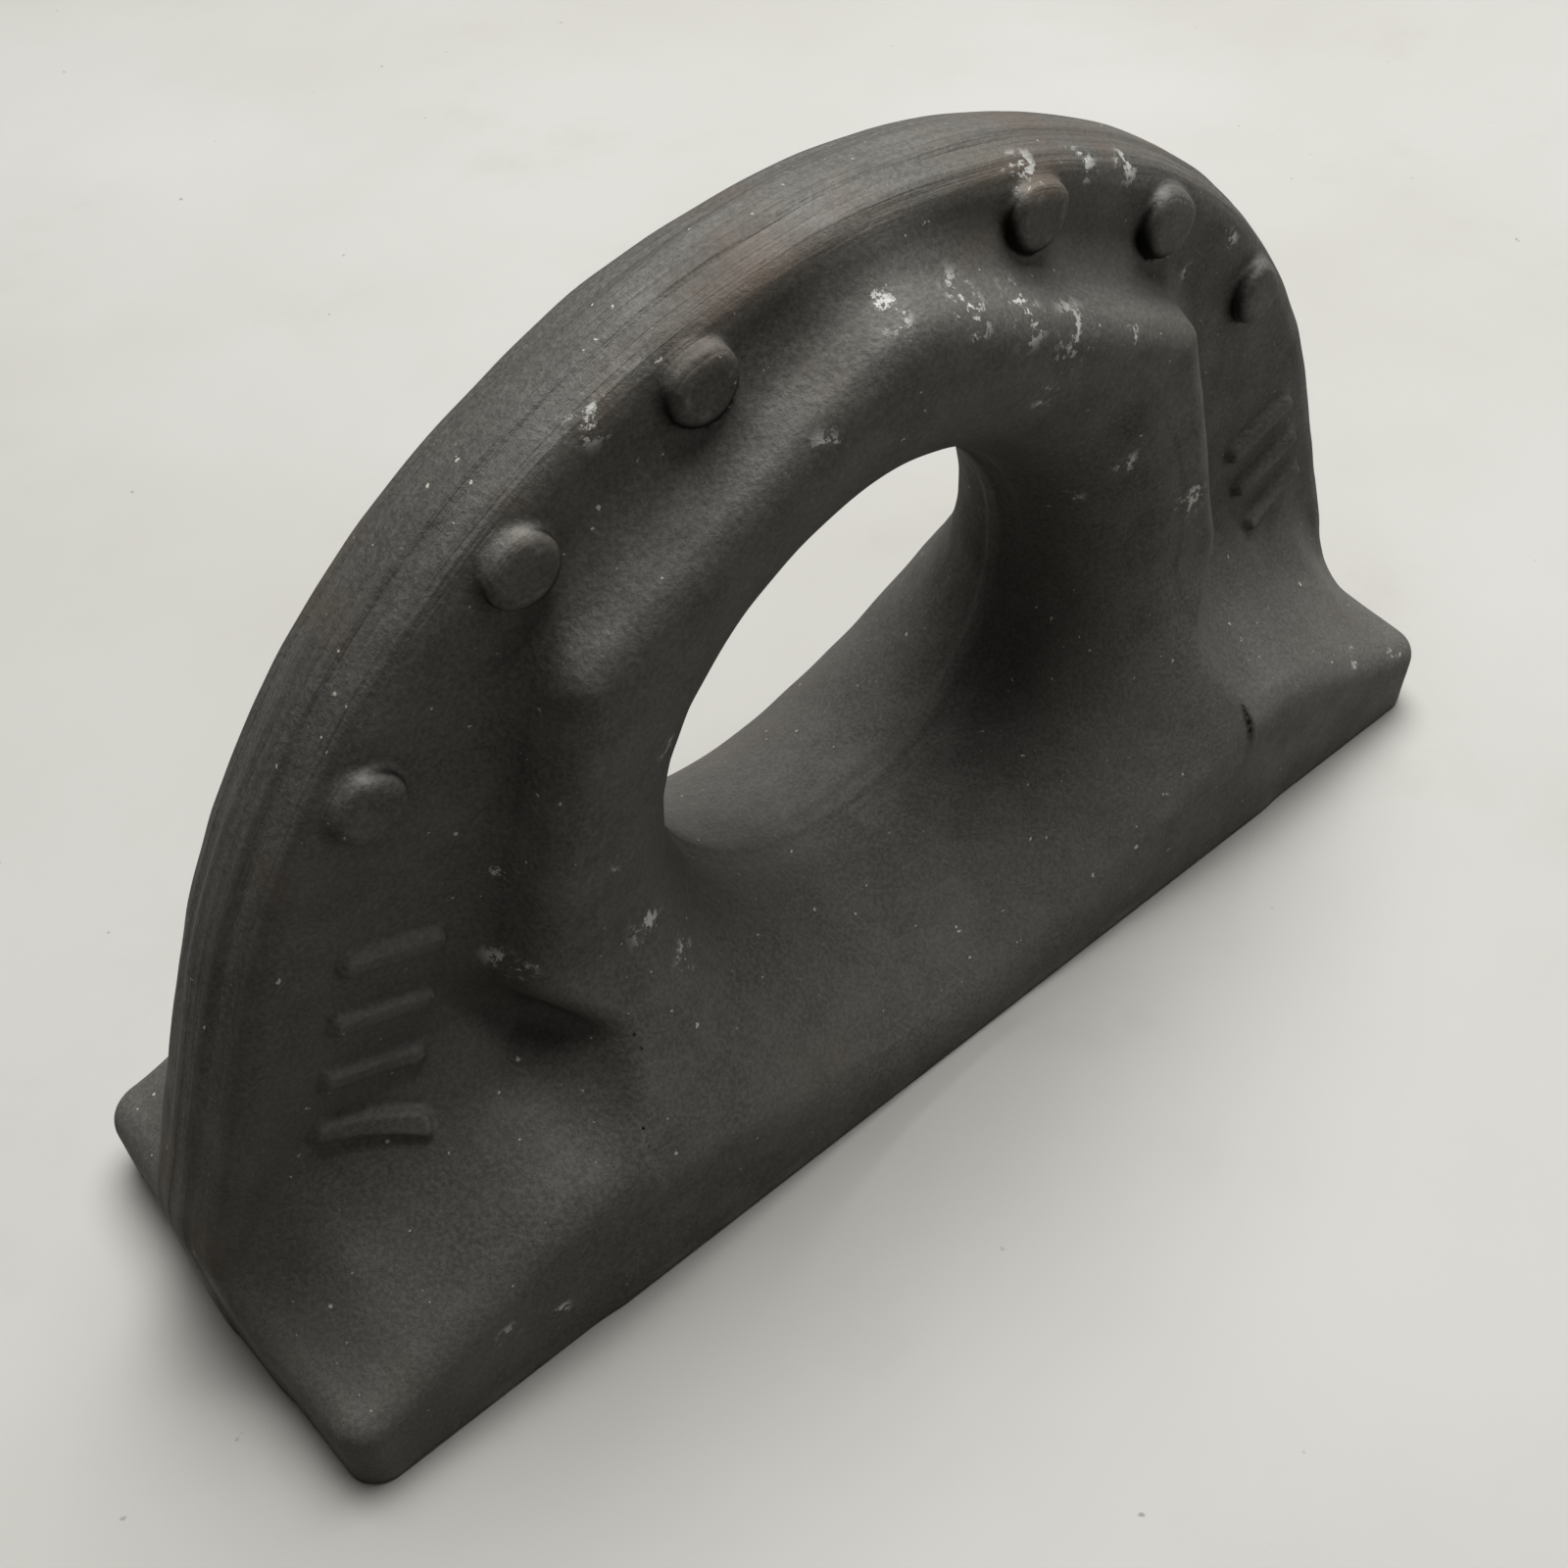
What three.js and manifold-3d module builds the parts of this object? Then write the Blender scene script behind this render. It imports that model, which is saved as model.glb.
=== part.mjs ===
// Weld-on lifting eye, one drop forging. Millimetres, +Z up.
// The origin is the middle of the welding face. X runs along the base, Y through the eye.
// The die parting plane is y = 0. The two ends mirror each other, and so do the two faces,
// apart from the row of buttons, which only the front face (-Y) has.
//
// The skin is the zero level of one function of a point: how far that point lies outside
// the steel. Each feature is such a distance, and rounded joins blend them as a die does.
import * as THREE from "three";
import Module from "manifold-3d";

// Base plate
const BASE_LENGTH = 170; // at the long edges
const BASE_WIDTH = 53.8;
const END_BULGE = 1.2; // each end stands out this far at the parting plane
const PLAN_CORNER_RADIUS = 4;
const PLATE_END_HEIGHT = 10.6;
const PLATE_EDGE_RADIUS = 3;
const RIDGE_RISE = 10; // the long edges climb by this towards the legs
const RIDGE_START_X = 84;
const RIDGE_END_X = 52;
const FLOOR_SLOPE = 0.5; // the top climbs from the long edge towards the web
const FLOOR_SLOPE_START_X = 87;
const FLOOR_SLOPE_END_X = 74;

// Arch
const ARCH_RADIUS = 80.5;
const ARCH_CENTRE_Z = 19.8;
const FLANK_START = THREE.MathUtils.degToRad(68); // from the top, where arc meets flank
const WEB_HALF = 7;
const CROWN_RADIUS = 14;
const CROWN_ROUND_HALF = 9; // beyond this the crown falls away straight
const RIM_EDGE_RADIUS = 2;
const WEB_FOOT_RADIUS = 7;

// Eye, with a full round rim
const EYE_RADIUS = 26.2;
const EYE_Z = 44.1;
const EYE_EDGE_RADIUS = 0.5;
const DISH_RADIUS = 36; // section of the saddle under the eye, seen along the base
const DISH_EDGE_RADIUS = 2.2;
const DISH_START = -0.5; // height over distance from the eye's centre, where the dish begins
const DISH_FULL = -1.15;

// Boss round the eye
const BOSS_HALF = 14.7; // half thickness of the boss above the skirt
const BOSS_ROOF_Z = 97.6; // where the roof plane meets the web
const BOSS_ROOF_SLOPE = 0.51;
const BOSS_ROOF_BLUNT = 2.4;
const BOSS_SIDE_X = 43.4; // half width at BOSS_SIDE_Z, on the web
const BOSS_SIDE_Z = 71.4;
const BOSS_SIDE_SLOPE = 0.31;
const BOSS_DRAFT = 0.47; // the flanks lean in by this for each millimetre out from the web
const BOSS_CORNER_RADIUS = 4;
const BOSS_EDGE_RADIUS = 2;
const BOSS_FOOT_RADIUS = 3;
const WAIST_DEPTH = 6.5; // the legs step in by this under the boss
const WAIST_TOP_Z = 42;
const WAIST_BOTTOM_Z = 31;
const SKIRT_SPREAD = 12.5; // the legs spread to the full width of the base
const SKIRT_TOP_Z = 43;
const SKIRT_BOTTOM_Z = 14;

// Buttons on the front of the web
const BUTTON_CIRCLE_RADIUS = 74.8;
const BUTTON_ANGLES = [15.3, 31.8, 50.2].map(THREE.MathUtils.degToRad);
const BUTTON_RADIUS = 3.8;
const BUTTON_TOP = 8.9;
const BUTTON_EDGE_RADIUS = 1.3;
const BUTTON_FOOT_RADIUS = 0.6;
const BUTTON_RIM_GAP = 0.2; // the crown, moved in by this, trims the buttons

// Meshing
const CELL = 2.4;
const TOLERANCE = 0.2;

const HALF_WIDTH = BASE_WIDTH / 2;
const HALF_LENGTH = BASE_LENGTH / 2 + END_BULGE;

const { lerp, smoothstep } = THREE.MathUtils;

// Outside both a and b, with an edge of the given radius where they meet.
function roundMax(a, b, radius) {
  const corner = Math.hypot(Math.max(a + radius, 0), Math.max(b + radius, 0));
  return Math.min(Math.max(a, b), -radius) + corner;
}

// Outside a or b, with a fillet of the given radius where they meet.
function roundMin(a, b, radius) {
  return -roundMax(-a, -b, radius);
}

// Distance from a sloping line, from how far a point is past it along one axis.
function acrossSlope(past, slope) {
  return past / Math.hypot(1, slope);
}

// Outside the plan outline of the base: two long edges and two blunt V ends.
function outsidePlan(x, y) {
  const bulge = END_BULGE / HALF_WIDTH;
  const end = acrossSlope(x - HALF_LENGTH + bulge * y, bulge);
  return roundMax(end, y - HALF_WIDTH, PLAN_CORNER_RADIUS);
}

function outsidePlate(x, y, z) {
  const ridge = PLATE_END_HEIGHT + RIDGE_RISE * (1 - smoothstep(x, RIDGE_END_X, RIDGE_START_X));
  const slope = FLOOR_SLOPE * (1 - smoothstep(x, FLOOR_SLOPE_END_X, FLOOR_SLOPE_START_X));
  const top = ridge + slope * (HALF_WIDTH - y);
  return roundMax(outsidePlan(x, y), acrossSlope(z - top, slope), PLATE_EDGE_RADIUS);
}

// Outside the arch seen from the front: an arc that runs into straight flanks.
function outsideArch(x, z) {
  const up = z - ARCH_CENTRE_Z;
  if (Math.atan2(x, up) < FLANK_START) return Math.hypot(x, up) - ARCH_RADIUS;
  return x * Math.sin(FLANK_START) + up * Math.cos(FLANK_START) - ARCH_RADIUS;
}

// How far the crown has fallen away at a distance y from the parting plane.
function crownDrop(y) {
  const round = Math.min(y, CROWN_ROUND_HALF);
  const slope = CROWN_ROUND_HALF / CROWN_RADIUS;
  return round ** 2 / (2 * CROWN_RADIUS) + slope * (y - round);
}

// Outside the boss outline on the web: a blunt roof over two nearly upright sides and a waist.
function outsideBossOutline(x, z) {
  const bluntX = Math.hypot(x, BOSS_ROOF_BLUNT / BOSS_ROOF_SLOPE);
  const roof = acrossSlope(z - BOSS_ROOF_Z + BOSS_ROOF_SLOPE * bluntX, BOSS_ROOF_SLOPE);
  const waist = WAIST_DEPTH * (1 - smoothstep(z, WAIST_BOTTOM_Z, WAIST_TOP_Z));
  const halfWidth = BOSS_SIDE_X + BOSS_SIDE_SLOPE * (BOSS_SIDE_Z - z) - waist;
  return roundMax(roof, acrossSlope(x - halfWidth, BOSS_SIDE_SLOPE), BOSS_CORNER_RADIUS);
}

// How much of the skirt's spread is reached at a height, from 0 above it to 1 at its foot.
function skirtAt(z) {
  return 1 - smoothstep(z, SKIRT_BOTTOM_Z, SKIRT_TOP_Z);
}

function bossHalf(z) {
  return BOSS_HALF + SKIRT_SPREAD * skirtAt(z);
}

function outsideBoss(x, y, z) {
  const skirt = skirtAt(z);
  const skirtSlope = (6 * SKIRT_SPREAD * skirt * (1 - skirt)) / (SKIRT_TOP_Z - SKIRT_BOTTOM_Z);
  const face = acrossSlope(y - bossHalf(z), skirtSlope);
  const flank = acrossSlope(outsideBossOutline(x, z) + BOSS_DRAFT * (y - WEB_HALF), BOSS_DRAFT);
  return roundMax(face, flank, BOSS_EDGE_RADIUS);
}

function outsideUpright(x, y, z) {
  const body = roundMin(y - WEB_HALF, outsideBoss(x, y, z), BOSS_FOOT_RADIUS);
  return roundMax(outsideArch(x, z) + crownDrop(y), body, RIM_EDGE_RADIUS);
}

// The eye's rim is round in section, as deep as the boss is thick at that height. Under the
// eye it grows into a wider saddle-shaped dish.
function cutEye(outside, x, y, z) {
  const up = z - EYE_Z;
  const r = Math.hypot(x, up);
  const dish = 1 - smoothstep(up / r, DISH_FULL, DISH_START);
  const section = lerp(bossHalf(z), DISH_RADIUS, dish);
  const edge = lerp(EYE_EDGE_RADIUS, DISH_EDGE_RADIUS, dish);
  const inwards = EYE_RADIUS + section - r;
  const wall = Math.min(Math.hypot(Math.max(inwards, 0), y) - section, inwards);
  return roundMax(outside, wall, edge);
}

// Outside the low discs on the front of the web.
function outsideButtons(x, frontY, z) {
  const face = Math.abs(frontY - BUTTON_TOP / 2) - BUTTON_TOP / 2;
  const discs = BUTTON_ANGLES.map((angle) => {
    const across = x - BUTTON_CIRCLE_RADIUS * Math.sin(angle);
    const up = z - ARCH_CENTRE_Z - BUTTON_CIRCLE_RADIUS * Math.cos(angle);
    return roundMax(Math.hypot(across, up) - BUTTON_RADIUS, face, BUTTON_EDGE_RADIUS);
  });
  const rim = outsideArch(x, z) + crownDrop(Math.abs(frontY)) + BUTTON_RIM_GAP;
  return roundMax(Math.min(...discs), rim, BUTTON_EDGE_RADIUS);
}

function outsideForging([px, py, z]) {
  const x = Math.abs(px);
  const y = Math.abs(py);
  const joined = roundMin(outsideUpright(x, y, z), outsidePlate(x, y, z), WEB_FOOT_RADIUS);
  const trimmed = roundMax(joined, outsidePlan(x, y), 1);
  const pierced = cutEye(trimmed, x, y, z);
  return roundMin(pierced, outsideButtons(x, -py, z), BUTTON_FOOT_RADIUS);
}

// Moves a point straight to the skin: the level set leaves it a little way off.
// A point of the flat underside is far from the skin, and stays.
function settle(point) {
  const step = 0.05;
  for (let pass = 0; pass < 2; pass++) {
    const outside = outsideForging(point);
    if (Math.abs(outside) > CELL) return;
    const slope = [0, 1, 2].map((axis) => {
      const nudged = point.map((value, i) => (i === axis ? value + step : value));
      return (outsideForging(nudged) - outside) / step;
    });
    const scale = outside / Math.max(slope[0] ** 2 + slope[1] ** 2 + slope[2] ** 2, 0.25);
    slope.forEach((value, axis) => {
      point[axis] -= scale * value;
    });
  }
}

// The level set reaches below the base, and is cut flat at the welding face.
function forgingSolid(Manifold) {
  const bounds = {
    min: [-HALF_LENGTH - CELL, -HALF_WIDTH - CELL, -2 * CELL],
    max: [HALF_LENGTH + CELL, HALF_WIDTH + CELL, ARCH_CENTRE_Z + ARCH_RADIUS + CELL],
  };
  const skin = Manifold.levelSet((point) => -outsideForging(point), bounds, CELL, 0);
  return skin.warp(settle).trimByPlane([0, 0, 1], 0).simplify(TOLERANCE);
}

function meshOf(solid, name, material) {
  const { numProp, vertProperties, triVerts } = solid.getMesh();
  const geometry = new THREE.BufferGeometry();
  const corners = new THREE.InterleavedBuffer(vertProperties, numProp);
  geometry.setAttribute("position", new THREE.InterleavedBufferAttribute(corners, 3, 0));
  geometry.setIndex(new THREE.BufferAttribute(triVerts, 1));
  const mesh = new THREE.Mesh(geometry.toNonIndexed(), material);
  mesh.geometry.computeVertexNormals();
  mesh.name = name;
  return mesh;
}

const wasm = await Module();
wasm.setup();

const forgedSteel = new THREE.MeshStandardMaterial({ color: 0x45433f, metalness: 0.6, roughness: 0.75 });
const liftingEye = new THREE.Group();
liftingEye.name = "weld_on_lifting_eye";
liftingEye.add(meshOf(forgingSolid(wasm.Manifold), "forged_eye_body", forgedSteel));

export default liftingEye;
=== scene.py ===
"""Looks of a weld-on lifting eye: one drop forging with a dark, matt skin.

The skin is the zero level of one function of a point, in millimetres: how far the point lies
outside the steel. It is the CAD part's own shape, with the small relief of a forging added.
"""

import math

import bpy
import numpy as np
from mathutils import Matrix, Vector


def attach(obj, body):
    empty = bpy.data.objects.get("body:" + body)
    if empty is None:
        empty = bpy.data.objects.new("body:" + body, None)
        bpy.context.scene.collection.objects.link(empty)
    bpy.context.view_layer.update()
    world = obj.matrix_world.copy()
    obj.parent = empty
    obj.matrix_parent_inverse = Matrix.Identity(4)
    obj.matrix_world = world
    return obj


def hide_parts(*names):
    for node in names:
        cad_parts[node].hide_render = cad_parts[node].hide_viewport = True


MM = 0.001

# Base plate
BASE_LENGTH = 170  # at the long edges
BASE_WIDTH = 53.8
END_BULGE = 1.2  # each end stands out this far at the parting plane
PLAN_CORNER_RADIUS = 4
PLATE_END_HEIGHT = 10.6
PLATE_EDGE_RADIUS = 3
RIDGE_RISE = 10  # the long edges climb by this towards the legs
RIDGE_START_X = 84
RIDGE_END_X = 52
FLOOR_SLOPE = 0.5  # the top climbs from the long edge towards the web
FLOOR_SLOPE_START_X = 87
FLOOR_SLOPE_END_X = 74
UNDERSIDE_EDGE_RADIUS = 0.6

# Arch
ARCH_RADIUS = 80.5
ARCH_CENTRE_Z = 19.8
FLANK_START = math.radians(68)  # from the top, where arc meets flank
WEB_HALF = 7
CROWN_RADIUS = 14
CROWN_ROUND_HALF = 9  # beyond this the crown falls away straight
RIM_EDGE_RADIUS = 2
WEB_FOOT_RADIUS = 7

# Eye, with a full round rim
EYE_RADIUS = 26.2
EYE_Z = 44.1
EYE_EDGE_RADIUS = 0.5
DISH_RADIUS = 36  # section of the saddle under the eye, seen along the base
DISH_EDGE_RADIUS = 2.2
DISH_START = -0.5  # height over distance from the eye's centre, where the dish begins
DISH_FULL = -1.15

# Boss round the eye
BOSS_HALF = 14.7  # half thickness of the boss above the skirt
BOSS_ROOF_Z = 97.6  # where the roof plane meets the web
BOSS_ROOF_SLOPE = 0.51
BOSS_ROOF_BLUNT = 2.4
BOSS_SIDE_X = 43.4  # half width at BOSS_SIDE_Z, on the web
BOSS_SIDE_Z = 71.4
BOSS_SIDE_SLOPE = 0.31
BOSS_DRAFT = 0.47  # the flanks lean in by this for each millimetre out from the web
BOSS_CORNER_RADIUS = 4
BOSS_EDGE_RADIUS = 2
BOSS_FOOT_RADIUS = 3
WAIST_DEPTH = 6.5  # the legs step in by this under the boss
WAIST_TOP_Z = 42
WAIST_BOTTOM_Z = 31
SKIRT_SPREAD = 12.5  # the legs spread to the full width of the base
SKIRT_TOP_Z = 43
SKIRT_BOTTOM_Z = 14

# Buttons on the front of the web
BUTTON_CIRCLE_RADIUS = 74.8
BUTTON_ANGLES = [math.radians(a) for a in (15.3, 31.8, 50.2)]
BUTTON_RADIUS = 3.8
BUTTON_TOP = 8.9
BUTTON_EDGE_RADIUS = 1.3
BUTTON_FOOT_RADIUS = 0.6
BUTTON_RIM_GAP = 0.2  # the crown, moved in by this, trims the buttons

# Parting flash on the outside, trimmed to a low band that wanders a little
FLASH_HALF = 2.3
FLASH_HEIGHT = 0.2
FLASH_EDGE = 0.8
FLASH_WANDER = 0.25
FLASH_WANDER_LENGTH = 30
FLASH_START = 12  # distance outside the eye
FLASH_FULL = 16

# Trimming grooves along the flash, by their place across the crown
GROOVE_PLACES = (-FLASH_HALF - 0.5, 0.4, FLASH_HALF + 0.9)
GROOVE_DEPTH = 0.08
GROOVE_WIDTH = 0.45

# Faint raised lines along the crown
CROWN_LINE_HEIGHT = 0.03
CROWN_LINE_TURNS = 3.1  # radians of wave for each millimetre across
CROWN_LINE_BEND = 2
CROWN_LINE_BEND_LENGTH = 45
CROWN_LINES_HALF = 8
CROWN_LINES_EDGE = 3

# Parting flash in the eye, with one groove beside it
EYE_FLASH_HALF = 1.3
EYE_FLASH_HEIGHT = 0.3
EYE_FLASH_EDGE = 0.6
EYE_FLASH_FULL = 2
EYE_FLASH_END = 5
EYE_GROOVE_PLACE = -3
EYE_GROOVE_DEPTH = 0.15
EYE_GROOVE_WIDTH = 0.4

# Blank raised bars on the front of the web, square to the flank. For each field: the end of the
# eye (-1 left, 1 right), distance out from the arch's centre, place of the first bar along the
# flank, how many, and their length.
BAR_FIELDS = [
    (-1, 65.5, -16.5, 4, 11),
    (1, 69, -14, 3, 11),
]
BAR_SPACING = 7
BAR_HALF_WIDTH = 1.2
BAR_CORNER_RADIUS = 0.9
BAR_HEIGHT = 1.1
BAR_EDGE = 0.3

# Shallow dents on the front of the boss: x, z, radius, depth
DENTS = [(28, 67.5, 3.2, 0.6), (34.5, 50, 3.2, 0.6)]

# Unevenness of the skin: broad swells and shorter ripples
SWELL_HEIGHT = 0.10
SWELL_LENGTH = 22
RIPPLE_HEIGHT = 0.035
RIPPLE_LENGTH = 6
SWELL_START_Z = 0.5
SWELL_FULL_Z = 3

# The relief fades out above the welding face
RELIEF_START_Z = 0.3
RELIEF_FULL_Z = 1.5

# Rubbed, scuffed spots on the front: x, z and reach
SCUFFS = [
    (-2, 93, 2.1),
    (6, 90, 3.4),
    (13, 86.5, 3.4),
    (19, 82, 4.2),
    (16, 77, 2.1),
    (28, 78.5, 2.1),
    (42, 51, 3.4),
    (31, 61, 2.1),
    (27, 56, 1.7),
    (-12, 85, 2.5),
    (-30, 93, 3.4),
    (19, 97, 3.4),
    (27, 94, 3.4),
    (34, 91, 2.5),
    (-48, 53, 1.7),
    (-50, 43, 2.1),
    (-38, 51, 1.7),
    (-36, 40, 3.4),
    (-33, 33, 2.5),
    (-31, 61, 1.7),
    (-60, 8, 1.7),
    (-66, 11, 2.1),
    (45, 75, 1.3),
    (52, 76, 1.7),
    (70, 15, 2.1),
    (78, 11, 1.7),
]

SCUFF_CORE = 0.2  # this share of the reach is scuffed fully
SCUFF_START_Y = 4  # distance in front of the parting plane
SCUFF_FULL_Y = 6

# Meshing
GRID = 0.45
SETTLE_PASSES = 3
LEAST_SLOPE = 0.5

# Masks for the material
# Painted shade: how far out from the skin the enclosing steel is looked for
PAINTED_SHADE_REACH = 9
WEAR_DEPTH = 3.5
CROWN_SKIN_DEPTH = 1
CROWN_SKIN_EDGE = 0.8
CROWN_START_Z = 14
CROWN_FULL_Z = 24

# Colours of the forging skin
SKIN_DARK = (0.070, 0.067, 0.060, 1)
SKIN_LIGHT = (0.090, 0.088, 0.081, 1)
MOTTLE_COLOUR = (0.115, 0.112, 0.103, 1)
GRAIN_COLOUR = (0.155, 0.150, 0.138, 1)
RUST_COLOUR = (0.115, 0.092, 0.072, 1)
LINE_COLOUR = (0.055, 0.050, 0.044, 1)
# Near-black painted shade, laid over enclosed hollows and pockets
PAINTED_SHADE_COLOUR = (0.010, 0.007, 0.005, 1)
RUBBED_COLOUR = (0.20, 0.195, 0.18, 1)
FLAKE_COLOUR = (0.40, 0.40, 0.38, 1)
SPECK_COLOUR = (0.38, 0.35, 0.31, 1)
METALLIC = 0.2
ROUGHEST = 0.74
SMOOTHEST = 0.58
ALONG_CROWN = (0.02, 1, 0.02)  # stretches noise into lines that follow the crown

# Floor
FLOOR_HALF = 3.0
FLOOR_DARK = (0.315, 0.309, 0.290, 1)
FLOOR_LIGHT = (0.345, 0.341, 0.325, 1)
FLOOR_STAIN = (0.26, 0.25, 0.225, 1)
FLOOR_DUST = (0.12, 0.11, 0.095, 1)
FLOOR_ROUGHNESS = 0.8

# Camera
CAMERA_TARGET = (-6.6, 0.0, 27.1)
CAMERA_AZIMUTH = -38.77
CAMERA_ELEVATION = 47.60
CAMERA_ROLL = -2.37
CAMERA_DISTANCE = 204.5
CAMERA_LENS = 40.82
CAMERA_SENSOR = 36
CAMERA_CLIP_START = 0.01

# Lights, in metres and watts: name, place, size and power
LIGHTS = [
    ("overhead", (0.26, 0.20, 1.1), 1.0, 21.5),
    ("front fill", (0.6, -0.9, 0.35), 0.7, 1.8),
]
WORLD_COLOUR = (1.0, 0.99, 0.97, 1)
WORLD_STRENGTH = 0.10

HALF_WIDTH = BASE_WIDTH / 2
HALF_LENGTH = BASE_LENGTH / 2 + END_BULGE


def round_max(a, b, radius):
    """Outside both a and b, with an edge of the given radius where they meet."""
    corner = np.hypot(np.maximum(a + radius, 0), np.maximum(b + radius, 0))
    return np.minimum(np.maximum(a, b), -radius) + corner


def round_min(a, b, radius):
    """Outside a or b, with a fillet of the given radius where they meet."""
    return -round_max(-a, -b, radius)


def across_slope(past, slope):
    """Distance from a sloping line, from how far a point is past it along one axis."""
    return past / np.hypot(1, slope)


def smoothstep(value, low, high):
    """0 up to low and 1 from high on, with a smooth rise between them."""
    t = np.clip((value - low) / (high - low), 0, 1)
    return t * t * (3 - 2 * t)


def outside_plan(x, y):
    """Outside the plan outline of the base: two long edges and two blunt V ends."""
    bulge = END_BULGE / HALF_WIDTH
    end = across_slope(x - HALF_LENGTH + bulge * y, bulge)
    return round_max(end, y - HALF_WIDTH, PLAN_CORNER_RADIUS)


def outside_plate(x, y, z):
    ridge = PLATE_END_HEIGHT + RIDGE_RISE * (1 - smoothstep(x, RIDGE_END_X, RIDGE_START_X))
    slope = FLOOR_SLOPE * (1 - smoothstep(x, FLOOR_SLOPE_END_X, FLOOR_SLOPE_START_X))
    top = ridge + slope * (HALF_WIDTH - y)
    return round_max(outside_plan(x, y), across_slope(z - top, slope), PLATE_EDGE_RADIUS)


def outside_arch(x, z):
    """Outside the arch seen from the front: an arc that runs into straight flanks."""
    up = z - ARCH_CENTRE_Z
    arc = np.hypot(x, up) - ARCH_RADIUS
    flank = x * math.sin(FLANK_START) + up * math.cos(FLANK_START) - ARCH_RADIUS
    return np.where(np.arctan2(x, up) < FLANK_START, arc, flank)


def crown_drop(y):
    """How far the crown has fallen away at a distance y from the parting plane."""
    round_part = np.minimum(y, CROWN_ROUND_HALF)
    slope = CROWN_ROUND_HALF / CROWN_RADIUS
    return round_part**2 / (2 * CROWN_RADIUS) + slope * (y - round_part)


def outside_boss_outline(x, z):
    """Outside the boss outline on the web: a blunt roof, two sides and a waist."""
    blunt_x = np.hypot(x, BOSS_ROOF_BLUNT / BOSS_ROOF_SLOPE)
    roof = across_slope(z - BOSS_ROOF_Z + BOSS_ROOF_SLOPE * blunt_x, BOSS_ROOF_SLOPE)
    waist = WAIST_DEPTH * (1 - smoothstep(z, WAIST_BOTTOM_Z, WAIST_TOP_Z))
    half_width = BOSS_SIDE_X + BOSS_SIDE_SLOPE * (BOSS_SIDE_Z - z) - waist
    return round_max(roof, across_slope(x - half_width, BOSS_SIDE_SLOPE), BOSS_CORNER_RADIUS)


def skirt_at(z):
    """How much of the skirt's spread is reached at a height: 0 above it, 1 at its foot."""
    return 1 - smoothstep(z, SKIRT_BOTTOM_Z, SKIRT_TOP_Z)


def boss_half(z):
    return BOSS_HALF + SKIRT_SPREAD * skirt_at(z)


def outside_boss(x, y, z):
    skirt = skirt_at(z)
    skirt_slope = 6 * SKIRT_SPREAD * skirt * (1 - skirt) / (SKIRT_TOP_Z - SKIRT_BOTTOM_Z)
    face = across_slope(y - boss_half(z), skirt_slope)
    flank = across_slope(outside_boss_outline(x, z) + BOSS_DRAFT * (y - WEB_HALF), BOSS_DRAFT)
    return round_max(face, flank, BOSS_EDGE_RADIUS)


def outside_upright(x, y, z):
    body = round_min(y - WEB_HALF, outside_boss(x, y, z), BOSS_FOOT_RADIUS)
    return round_max(outside_arch(x, z) + crown_drop(y), body, RIM_EDGE_RADIUS)


def cut_eye(outside, x, y, z):
    """Takes the open eye and its dish out of the shape."""
    up = z - EYE_Z
    r = np.hypot(x, up)
    dish = 1 - smoothstep(up / np.maximum(r, GRID), DISH_FULL, DISH_START)
    section = boss_half(z) * (1 - dish) + DISH_RADIUS * dish
    edge = EYE_EDGE_RADIUS * (1 - dish) + DISH_EDGE_RADIUS * dish
    inwards = EYE_RADIUS + section - r
    wall = np.minimum(np.hypot(np.maximum(inwards, 0), y) - section, inwards)
    return round_max(outside, wall, edge)


def outside_buttons(x, front_y, z):
    """Outside the low discs on the front of the web."""
    nearest = np.full(np.shape(x), np.inf)
    for angle in BUTTON_ANGLES:
        across = x - BUTTON_CIRCLE_RADIUS * math.sin(angle)
        up = z - ARCH_CENTRE_Z - BUTTON_CIRCLE_RADIUS * math.cos(angle)
        side = np.hypot(across, up) - BUTTON_RADIUS
        face = np.abs(front_y - BUTTON_TOP / 2) - BUTTON_TOP / 2
        nearest = np.minimum(nearest, round_max(side, face, BUTTON_EDGE_RADIUS))
    rim = outside_arch(x, z) + crown_drop(np.abs(front_y)) + BUTTON_RIM_GAP
    return round_max(nearest, rim, BUTTON_EDGE_RADIUS)


def outside_forging(points):
    """How far points lie outside the smooth forging, less than 0 in the steel."""
    x = np.abs(points[..., 0])
    y = np.abs(points[..., 1])
    z = points[..., 2]
    joined = round_min(outside_upright(x, y, z), outside_plate(x, y, z), WEB_FOOT_RADIUS)
    trimmed = round_max(joined, outside_plan(x, y), 1)
    pierced = cut_eye(trimmed, x, y, z)
    buttoned = round_min(pierced, outside_buttons(x, -points[..., 1], z), BUTTON_FOOT_RADIUS)
    return round_max(buttoned, -z, UNDERSIDE_EDGE_RADIUS)


def waves(points, length, seed, count=14):
    """Smooth noise about -1 to 1: a sum of waves of about one length in random directions."""
    rng = np.random.default_rng(seed)
    directions = rng.normal(size=(count, 3))
    directions /= np.linalg.norm(directions, axis=1, keepdims=True)
    shortest, longest = 0.7, 1.5
    lengths = length * rng.uniform(shortest, longest, count)
    phases = rng.uniform(0, 2 * math.pi, count)
    angles = points @ (2 * math.pi * directions / lengths[:, None]).T + phases
    return np.sin(angles).sum(-1) / math.sqrt(count)


def band(value, half, soft):
    """1 within half of zero, falling to 0 over a soft edge."""
    return 1 - smoothstep(np.abs(value), half - soft / 2, half + soft / 2)


def groove(value, width):
    """1 at zero, falling away over a width to both sides."""
    return np.exp(-((value / width) ** 2))


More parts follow.
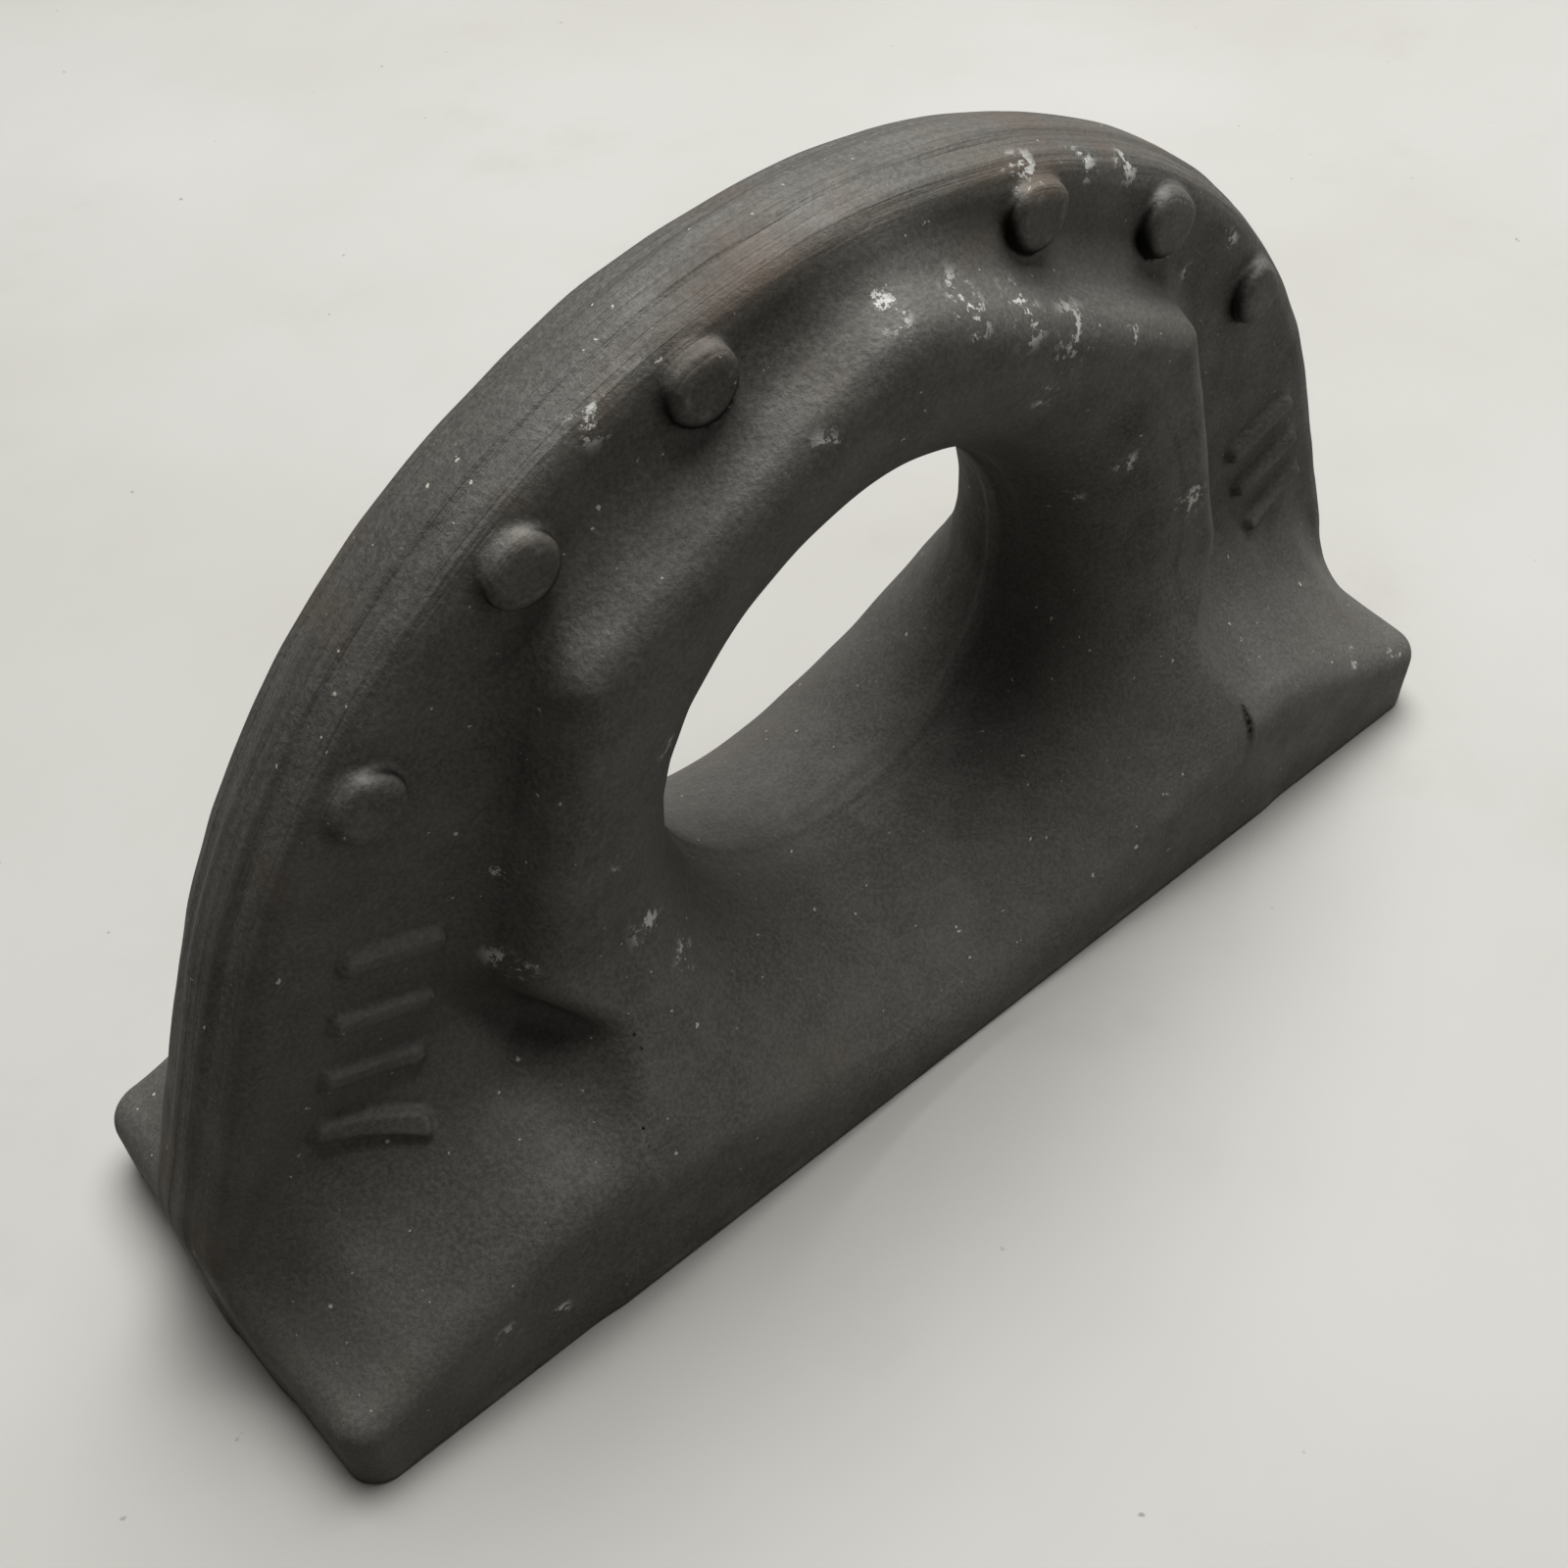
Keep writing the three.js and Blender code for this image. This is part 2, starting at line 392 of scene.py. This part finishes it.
def flash_relief(points):
    """The trimmed parting flash: a low band over the crown and down both ends, and one in the eye."""
    x, y, z = np.moveaxis(points, -1, 0)
    in_plane = points * [1, 0, 1]
    place = y + FLASH_WANDER * waves(in_plane, FLASH_WANDER_LENGTH, seed=3)
    crown = FLASH_HEIGHT * band(place, FLASH_HALF, FLASH_EDGE)
    for groove_place in GROOVE_PLACES:
        crown = crown - GROOVE_DEPTH * groove(place - groove_place, GROOVE_WIDTH)
    bend = CROWN_LINE_BEND * waves(in_plane, CROWN_LINE_BEND_LENGTH, seed=5)
    lines = CROWN_LINE_HEIGHT * np.sin(CROWN_LINE_TURNS * y + bend)
    crown = crown + lines * band(y, CROWN_LINES_HALF, CROWN_LINES_EDGE)
    eye = EYE_FLASH_HEIGHT * band(place, EYE_FLASH_HALF, EYE_FLASH_EDGE)
    eye = eye - EYE_GROOVE_DEPTH * groove(place - EYE_GROOVE_PLACE, EYE_GROOVE_WIDTH)
    from_eye = np.hypot(x, z - EYE_Z)
    outer = smoothstep(from_eye, EYE_RADIUS + FLASH_START, EYE_RADIUS + FLASH_FULL)
    inner = 1 - smoothstep(from_eye, EYE_RADIUS + EYE_FLASH_FULL, EYE_RADIUS + EYE_FLASH_END)
    return outer * crown + inner * eye


def bar_relief(points):
    """Plain raised bars in the marking fields of the web."""
    x, y, z = np.moveaxis(points, -1, 0)
    relief = np.zeros(x.shape)
    up = z - ARCH_CENTRE_Z
    for side, outward, first, count, length in BAR_FIELDS:
        out = side * x * math.sin(FLANK_START) + up * math.cos(FLANK_START)
        along = up * math.sin(FLANK_START) - side * x * math.cos(FLANK_START)
        for i in range(count):
            end = np.abs(out - outward) - length / 2
            flank = np.abs(along - first - i * BAR_SPACING) - BAR_HALF_WIDTH
            away = round_max(end, flank, BAR_CORNER_RADIUS)
            relief = np.maximum(relief, 1 - smoothstep(away, -BAR_EDGE, BAR_EDGE))
    on_front = smoothstep(-y, WEB_HALF - 3, WEB_HALF - 2)
    return BAR_HEIGHT * on_front * relief


def dent_relief(points):
    """The shallow dents on the front of the boss."""
    x, y, z = np.moveaxis(points, -1, 0)
    relief = np.zeros(x.shape)
    for centre_x, centre_z, radius, depth in DENTS:
        away = np.hypot(x - centre_x, z - centre_z)
        relief -= depth * groove(away, radius) * (y < 0)
    return relief


def unevenness(points):
    """Slight swells and ripples of the forged skin."""
    swells = SWELL_HEIGHT * waves(points, SWELL_LENGTH, seed=1)
    ripples = RIPPLE_HEIGHT * waves(points, RIPPLE_LENGTH, seed=2)
    return smoothstep(points[..., 2], SWELL_START_Z, SWELL_FULL_Z) * (swells + ripples)


def relief_at(points):
    """Height of the fine relief over the smooth skin. The underside has none."""
    relief = flash_relief(points) + bar_relief(points) + dent_relief(points) + unevenness(points)
    return relief * smoothstep(points[..., 2], RELIEF_START_Z, RELIEF_FULL_Z)


def slope_at(points, value):
    """Gradient of the shape function by small steps."""
    step = 0.02
    nudges = step * np.eye(3)
    return np.stack([(outside_forging(points + nudge) - value) / step for nudge in nudges], axis=-1)


def normal_at(points):
    slope = slope_at(points, outside_forging(points))
    return slope / np.linalg.norm(slope, axis=1, keepdims=True)


def settle(points):
    """Moves points straight to the smooth skin."""
    for _ in range(SETTLE_PASSES):
        value = outside_forging(points)
        slope = slope_at(points, value)
        scale = value / np.maximum((slope**2).sum(-1), LEAST_SLOPE**2)
        points = points - scale[:, None] * slope
    return points


def grid_axis(low, high):
    count = math.ceil((high - low) / GRID) + 1
    return low + GRID * np.arange(count)


def grid_axes():
    """Places of the grid along x, y and z, a little past the forging on all sides."""
    margin = 2 * GRID
    top = ARCH_CENTRE_Z + ARCH_RADIUS
    return [
        grid_axis(-HALF_LENGTH - margin, HALF_LENGTH + margin),
        grid_axis(-HALF_WIDTH - margin, HALF_WIDTH + margin),
        grid_axis(-margin, top + margin),
    ]


def inside_grid(axes):
    """Whether each grid point lies in the steel, worked out slab by slab."""
    slabs = [
        outside_forging(np.stack(np.meshgrid([x], axes[1], axes[2], indexing="ij"), axis=-1))[0]
        for x in axes[0]
    ]
    return np.stack(slabs) < 0


def crossed_cells(inside):
    """Which grid cells the skin crosses: some of their eight corners are in, and some out."""
    nx, ny, nz = (count - 1 for count in inside.shape)
    corners = [
        inside[i : nx + i, j : ny + j, k : nz + k]
        for i in (0, 1) for j in (0, 1) for k in (0, 1)
    ]
    filled = sum(corner.astype(np.int8) for corner in corners)
    return (filled > 0) & (filled < len(corners))


def skin_mesh():
    """Vertices and quads of the skin: one vertex in each grid cell that the skin crosses."""
    axes = grid_axes()
    inside = inside_grid(axes)
    crossed = crossed_cells(inside)
    cells = np.argwhere(crossed)
    number = np.full(crossed.shape, -1)
    number[crossed] = np.arange(len(cells))
    centres = np.stack([axes[i][cells[:, i]] + GRID / 2 for i in range(3)], axis=-1)
    smooth = settle(centres)
    skin = smooth + relief_at(smooth)[:, None] * normal_at(smooth)
    return skin, quads_across(inside, number)


def quads_across(inside, number):
    """A quad of four cells round each grid edge that the skin crosses, facing out."""
    quads = []
    for axis in range(3):
        u = (axis + 1) % 3
        v = (axis + 2) % 3
        first = np.take(inside, range(inside.shape[axis] - 1), axis)
        second = np.take(inside, range(1, inside.shape[axis]), axis)
        edges = np.argwhere(first != second)
        leaving = first[tuple(edges.T)]
        ring = []
        for du, dv in ((0, 0), (-1, 0), (-1, -1), (0, -1)):
            cell = edges.copy()
            cell[:, u] += du
            cell[:, v] += dv
            ring.append(number[tuple(cell.T)])
        ring = np.stack(ring, axis=-1)
        ring[~leaving] = ring[~leaving, ::-1]
        quads.append(ring)
    return np.concatenate(quads)


def surface_masks(points):
    """How enclosed each point is, which sets the painted shade in hollows, how much it stands out on
    an edge, whether it lies on the crown, and how scuffed it is, all 0 to 1."""
    normal = normal_at(points)
    # Painted shade mask: 1 where steel encloses the point within the reach
    painted_shade = 1 - np.clip(outside_forging(points + PAINTED_SHADE_REACH * normal) / PAINTED_SHADE_REACH, 0, 1)
    wear = np.clip(1 + outside_forging(points - WEAR_DEPTH * normal) / WEAR_DEPTH, 0, 1)
    x, y, z = np.abs(points.T)
    crown = band(outside_arch(x, z) + crown_drop(y), CROWN_SKIN_DEPTH, CROWN_SKIN_EDGE)
    crown = crown * smoothstep(z, CROWN_START_Z, CROWN_FULL_Z)
    return {"painted_shade": painted_shade, "wear": wear, "crown": crown, "scuff": scuff_mask(points)}


def scuff_mask(points):
    """The scuffed spots, on the front only."""
    x, y, z = np.moveaxis(points, -1, 0)
    mask = np.zeros(x.shape)
    for centre_x, centre_z, reach in SCUFFS:
        away = np.hypot(x - centre_x, z - centre_z)
        mask = np.maximum(mask, 1 - smoothstep(away, SCUFF_CORE * reach, reach))
    return mask * smoothstep(-y, SCUFF_START_Y, SCUFF_FULL_Y)


def add_attribute(mesh, name, values):
    attribute = mesh.attributes.new(name, "FLOAT", "POINT")
    attribute.data.foreach_set("value", np.ascontiguousarray(values, np.float32))


def make_forging():
    """The visible forging, with its masks as point attributes for the material."""
    points, quads = skin_mesh()
    mesh = bpy.data.meshes.new("forged_eye_skin")
    mesh.from_pydata((points * MM).tolist(), [], quads.tolist())
    mesh.shade_smooth()
    for name, values in surface_masks(points).items():
        add_attribute(mesh, name, values)
    piece = bpy.data.objects.new("forged_eye_skin", mesh)
    bpy.context.scene.collection.objects.link(piece)
    return piece


class Nodes:
    """Short ways to add and join shader nodes."""

    def __init__(self, name):
        self.material = bpy.data.materials.new(name)
        self.material.use_nodes = True
        self.tree = self.material.node_tree
        self.shader = self.tree.nodes["Principled BSDF"]

    def add(self, kind, inputs=None, **settings):
        node = self.tree.nodes.new(kind)
        for key, value in settings.items():
            setattr(node, key, value)
        for key, value in (inputs or {}).items():
            self.feed(node.inputs[key], value)
        return node

    def feed(self, socket, value):
        if isinstance(value, bpy.types.NodeSocket):
            self.tree.links.new(value, socket)
        else:
            socket.default_value = value

    def noise(self, scale, detail=4.0, rough=0.55, stretch=None):
        place = self.add("ShaderNodeTexCoord").outputs["Object"]
        if stretch:
            place = self.add("ShaderNodeMapping", {"Vector": place, "Scale": stretch}).outputs[0]
        inputs = {"Vector": place, "Scale": scale, "Detail": detail, "Roughness": rough}
        return self.add("ShaderNodeTexNoise", inputs).outputs["Fac"]

    def ramp(self, value, low, high):
        inputs = {"Value": value, "From Min": low, "From Max": high}
        return self.add("ShaderNodeMapRange", inputs, interpolation_type="SMOOTHSTEP").outputs[0]

    def patches(self, low, high, scale, detail=4.0, rough=0.55, stretch=None):
        """Noise, spread so that it is 0 at low and 1 at high."""
        return self.ramp(self.noise(scale, detail, rough, stretch), low, high)

    def times(self, a, b):
        node = self.add("ShaderNodeMath", operation="MULTIPLY")
        self.feed(node.inputs[0], a)
        self.feed(node.inputs[1], b)
        return node.outputs[0]

    def mix(self, share, a, b):
        node = self.add("ShaderNodeMix", data_type="RGBA")
        self.feed(node.inputs[0], share)
        self.feed(node.inputs[6], a)
        self.feed(node.inputs[7], b)
        return node.outputs[2]

    def attribute(self, name):
        return self.add("ShaderNodeAttribute", attribute_name=name).outputs["Fac"]

    def bump(self, height, distance, strength, below=None):
        inputs = {"Height": height, "Distance": distance, "Strength": strength}
        if below is not None:
            inputs["Normal"] = below
        return self.add("ShaderNodeBump", inputs).outputs[0]


def steel_colour(n, mottle, streaks):
    """Mottled dark skin, then grain, rust and lines on the crown, painted shade in corners and
    pockets, rubbed edges, scuffs and specks, each over the one before."""
    on_crown = n.attribute("crown")
    colour = n.mix(n.patches(0.35, 0.68, scale=28, detail=5), SKIN_DARK, SKIN_LIGHT)
    colour = n.mix(n.times(mottle, 0.35), colour, MOTTLE_COLOUR)
    grain = n.patches(0.35, 0.68, scale=2000, rough=0.75)
    colour = n.mix(n.times(grain, 0.6), colour, GRAIN_COLOUR)
    rust = n.times(n.patches(0.48, 0.72, scale=60, detail=5), n.ramp(on_crown, -0.8, 1.9))
    colour = n.mix(rust, colour, RUST_COLOUR)
    lines = n.times(streaks, n.times(on_crown, 0.35))
    colour = n.mix(lines, colour, LINE_COLOUR)
    # Painted shade: enclosed corners and pockets darken towards near black
    colour = n.mix(n.ramp(n.attribute("painted_shade"), 0.1, 0.9), colour, PAINTED_SHADE_COLOUR)
    worn_patches = n.patches(0.4, 0.7, scale=90, detail=6, rough=0.7)
    rubbed = n.times(n.ramp(n.attribute("wear"), 0.15, 0.7), worn_patches)
    colour = n.mix(n.times(rubbed, 0.45), colour, RUBBED_COLOUR)
    flakes = n.patches(0.53, 0.57, scale=520, detail=7, rough=0.72)
    colour = n.mix(n.times(n.attribute("scuff"), flakes), colour, FLAKE_COLOUR)
    specks = n.patches(0.73, 0.77, scale=900, detail=2, rough=0.5)
    return n.mix(specks, colour, SPECK_COLOUR)


def steel_relief(n, streaks):
    """Fine grain, coarser pitting, and the lines along the crown."""
    relief = n.bump(n.noise(1500, 5, 0.7), distance=0.00015, strength=0.8)
    relief = n.bump(n.noise(330, 5, 0.6), distance=0.0003, strength=0.4, below=relief)
    crown_lines = n.times(streaks, n.attribute("crown"))
    return n.bump(crown_lines, distance=0.0002, strength=0.5, below=relief)


def forged_steel():
    n = Nodes("forged_steel")
    mottle = n.patches(0.3, 0.7, scale=160, detail=6, rough=0.65)
    streaks = n.patches(0.35, 0.7, scale=900, detail=3, rough=0.6, stretch=ALONG_CROWN)
    roughness = {"Value": mottle, "To Min": ROUGHEST, "To Max": SMOOTHEST}
    n.feed(n.shader.inputs["Base Color"], steel_colour(n, mottle, streaks))
    n.feed(n.shader.inputs["Roughness"], n.add("ShaderNodeMapRange", roughness).outputs[0])
    n.feed(n.shader.inputs["Normal"], steel_relief(n, streaks))
    n.shader.inputs["Metallic"].default_value = METALLIC
    return n.material


def pale_floor_material():
    n = Nodes("pale_floor")
    clouds = n.patches(0.3, 0.7, scale=6, detail=5)
    colour = n.mix(clouds, FLOOR_DARK, FLOOR_LIGHT)
    stains = n.patches(0.52, 0.8, scale=17, detail=7, rough=0.65)
    colour = n.mix(n.times(stains, 0.35), colour, FLOOR_STAIN)
    dust = n.patches(0.75, 0.79, scale=300, detail=2, rough=0.5)
    colour = n.mix(n.times(dust, 0.6), colour, FLOOR_DUST)
    n.feed(n.shader.inputs["Base Color"], colour)
    n.shader.inputs["Roughness"].default_value = FLOOR_ROUGHNESS
    return n.material


def make_floor():
    far = FLOOR_HALF
    mesh = bpy.data.meshes.new("floor")
    corners = [(-far, -far, 0), (far, -far, 0), (far, far, 0), (-far, far, 0)]
    mesh.from_pydata(corners, [], [(0, 1, 2, 3)])
    floor = bpy.data.objects.new("floor", mesh)
    floor.data.materials.append(pale_floor_material())
    bpy.context.scene.collection.objects.link(floor)


def make_camera():
    azimuth = math.radians(CAMERA_AZIMUTH)
    elevation = math.radians(CAMERA_ELEVATION)
    back = Vector((
        math.sin(azimuth) * math.cos(elevation),
        -math.cos(azimuth) * math.cos(elevation),
        math.sin(elevation),
    ))
    data = bpy.data.cameras.new("camera")
    data.lens = CAMERA_LENS
    data.sensor_width = CAMERA_SENSOR
    data.clip_start = CAMERA_CLIP_START
    camera = bpy.data.objects.new("camera", data)
    facing = (-back).to_track_quat("-Z", "Y").to_matrix()
    turn = facing @ Matrix.Rotation(math.radians(CAMERA_ROLL), 3, "Z")
    place = (Vector(CAMERA_TARGET) + back * CAMERA_DISTANCE) * MM
    camera.matrix_world = Matrix.Translation(place) @ turn.to_4x4()
    bpy.context.scene.collection.objects.link(camera)
    bpy.context.scene.camera = camera


def area_light(name, place, size, power):
    """A round light that faces the middle of the base."""
    data = bpy.data.lights.new(name, "AREA")
    data.shape = "DISK"
    data.size = size
    data.energy = power
    light = bpy.data.objects.new(name, data)
    light.location = place
    light.rotation_euler = (-Vector(place)).to_track_quat("-Z", "Y").to_euler()
    bpy.context.scene.collection.objects.link(light)


def make_light():
    world = bpy.data.worlds.new("studio")
    world.use_nodes = True
    background = world.node_tree.nodes["Background"]
    background.inputs["Color"].default_value = WORLD_COLOUR
    background.inputs["Strength"].default_value = WORLD_STRENGTH
    bpy.context.scene.world = world
    for light in LIGHTS:
        area_light(*light)


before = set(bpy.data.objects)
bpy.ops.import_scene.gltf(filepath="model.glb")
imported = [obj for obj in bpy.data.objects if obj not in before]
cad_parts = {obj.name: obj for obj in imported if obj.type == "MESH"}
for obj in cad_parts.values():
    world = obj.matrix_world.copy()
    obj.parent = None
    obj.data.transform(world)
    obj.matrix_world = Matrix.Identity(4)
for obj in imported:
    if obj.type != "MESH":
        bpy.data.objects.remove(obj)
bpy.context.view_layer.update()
forging = make_forging()
forging.data.materials.append(forged_steel())
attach(forging, "root")
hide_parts("forged_eye_body")
make_floor()
make_light()
make_camera()
bpy.context.scene.view_settings.view_transform = "Standard"
bpy.context.scene.view_settings.look = "High Contrast"
